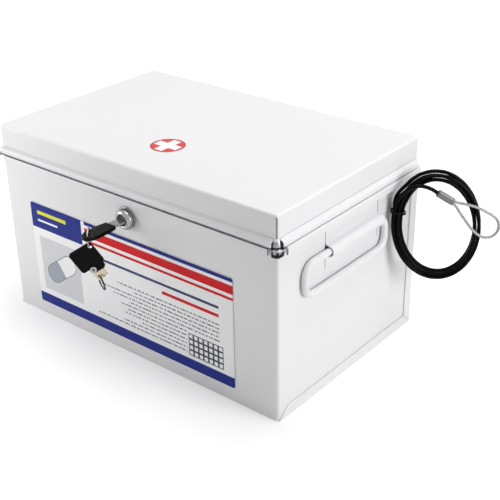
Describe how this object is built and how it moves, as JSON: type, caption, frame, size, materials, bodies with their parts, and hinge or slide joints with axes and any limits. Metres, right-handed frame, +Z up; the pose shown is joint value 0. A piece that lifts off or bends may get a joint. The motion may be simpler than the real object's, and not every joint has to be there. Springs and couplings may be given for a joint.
{
  "type": "medication lock box",
  "caption": "Small white steel box with a hinged lid, front key lock and key on a ring with a fob, side drop handles, a printed front label and a coiled tether cable.",
  "frame": {"origin": "centre of the box's flat underside", "axes": "+X to the right of the front along the box's length, +Y to the back, +Z up; the lock looks along -Y"},
  "size_m": [0.3997, 0.2547, 0.182],
  "materials": {
    "white_coat": "satin powder coat",
    "zinc_steel": "zinc plated",
    "chrome": "polished",
    "nickel": "nickel plated",
    "dark_wire": "dark plated",
    "black_plastic": "moulded",
    "black_cable": "glossy vinyl over steel rope",
    "galvanised": "galvanised",
    "label": "printed film"
  },
  "bodies": {
    "box": {"body_wrap": "white_coat", "base_back_pan": "white_coat", "hinge_leaf_body": "white_coat", "hinge_pin": "zinc_steel", "lock_barrel": "chrome", "lock_flange": "chrome", "lock_nut": "zinc_steel", "front_label": "label", "cable_grommet": "black_plastic", "stop_sleeve": "galvanised", "cable_lead": "black_cable", "cable_coil": "black_cable", "coil_tie": "black_plastic", "end_sleeve": "galvanised", "wire_loop": "galvanised"},
    "lid": {"lid_shell": "white_coat", "hinge_leaf_lid": "white_coat", "strike_bracket": "zinc_steel"},
    "lock_core": {"lock_plug": "chrome", "lock_cam": "zinc_steel", "cam_washer": "zinc_steel", "cam_screw": "zinc_steel"},
    "key": {"key_blade": "nickel", "key_head": "black_plastic"},
    "ring": {"key_ring": "chrome"},
    "fob": {"key_fob": "black_plastic", "fob_rivet": "chrome"},
    "tag": {"fob_tag": "nickel"},
    "split_ring": {"tag_ring": "dark_wire"},
    "left_bail": {"handle_left": "white_coat"},
    "right_bail": {"handle_right": "white_coat"}
  },
  "joints": [
    {"name": "lid_hinge", "type": "hinge", "parent": "box", "child": "lid", "pos_m": [0, 0.1016, 0.156], "axis": [-1, 0, 0], "range_deg": [0, 180]},
    {"name": "lock_turn", "type": "hinge", "parent": "box", "child": "lock_core", "pos_m": [0, -0.0985, 0.1348], "axis": [0, 1, 0], "range_deg": [0, 90]},
    {"name": "key_slide", "type": "slide", "parent": "lock_core", "child": "key", "axis": [0, -1, 0], "range_m": [0, 0.018]},
    {"name": "ring_swing", "type": "hinge", "parent": "key", "child": "ring", "pos_m": [0, -0.1426, 0.1348], "axis": [0, 0, 1], "range_deg": [0, 90]},
    {"name": "fob_swing", "type": "hinge", "parent": "ring", "child": "fob", "pos_m": [-0.0041, -0.13763, 0.12428], "axis": [0.6361, -0.7716, 0], "range_deg": [-15, 15]},
    {"name": "tag_swing", "type": "hinge", "parent": "fob", "child": "tag", "pos_m": [-0.00409, -0.13528, 0.10268], "axis": [0.6361, -0.7716, 0], "range_deg": [-30, 30]},
    {"name": "split_ring_swing", "type": "hinge", "parent": "tag", "child": "split_ring", "pos_m": [-0.00155, -0.13254, 0.09461], "axis": [0.3995, 0.8975, 0.1869], "range_deg": [-15, 15]},
    {"name": "left_handle_swing", "type": "hinge", "parent": "box", "child": "left_bail", "pos_m": [-0.1598, -0.0125, 0.129], "axis": [0, 1, 0], "range_deg": [0, 165]},
    {"name": "right_handle_swing", "type": "hinge", "parent": "box", "child": "right_bail", "pos_m": [0.1598, -0.0125, 0.129], "axis": [0, -1, 0], "range_deg": [0, 165]}
  ]
}
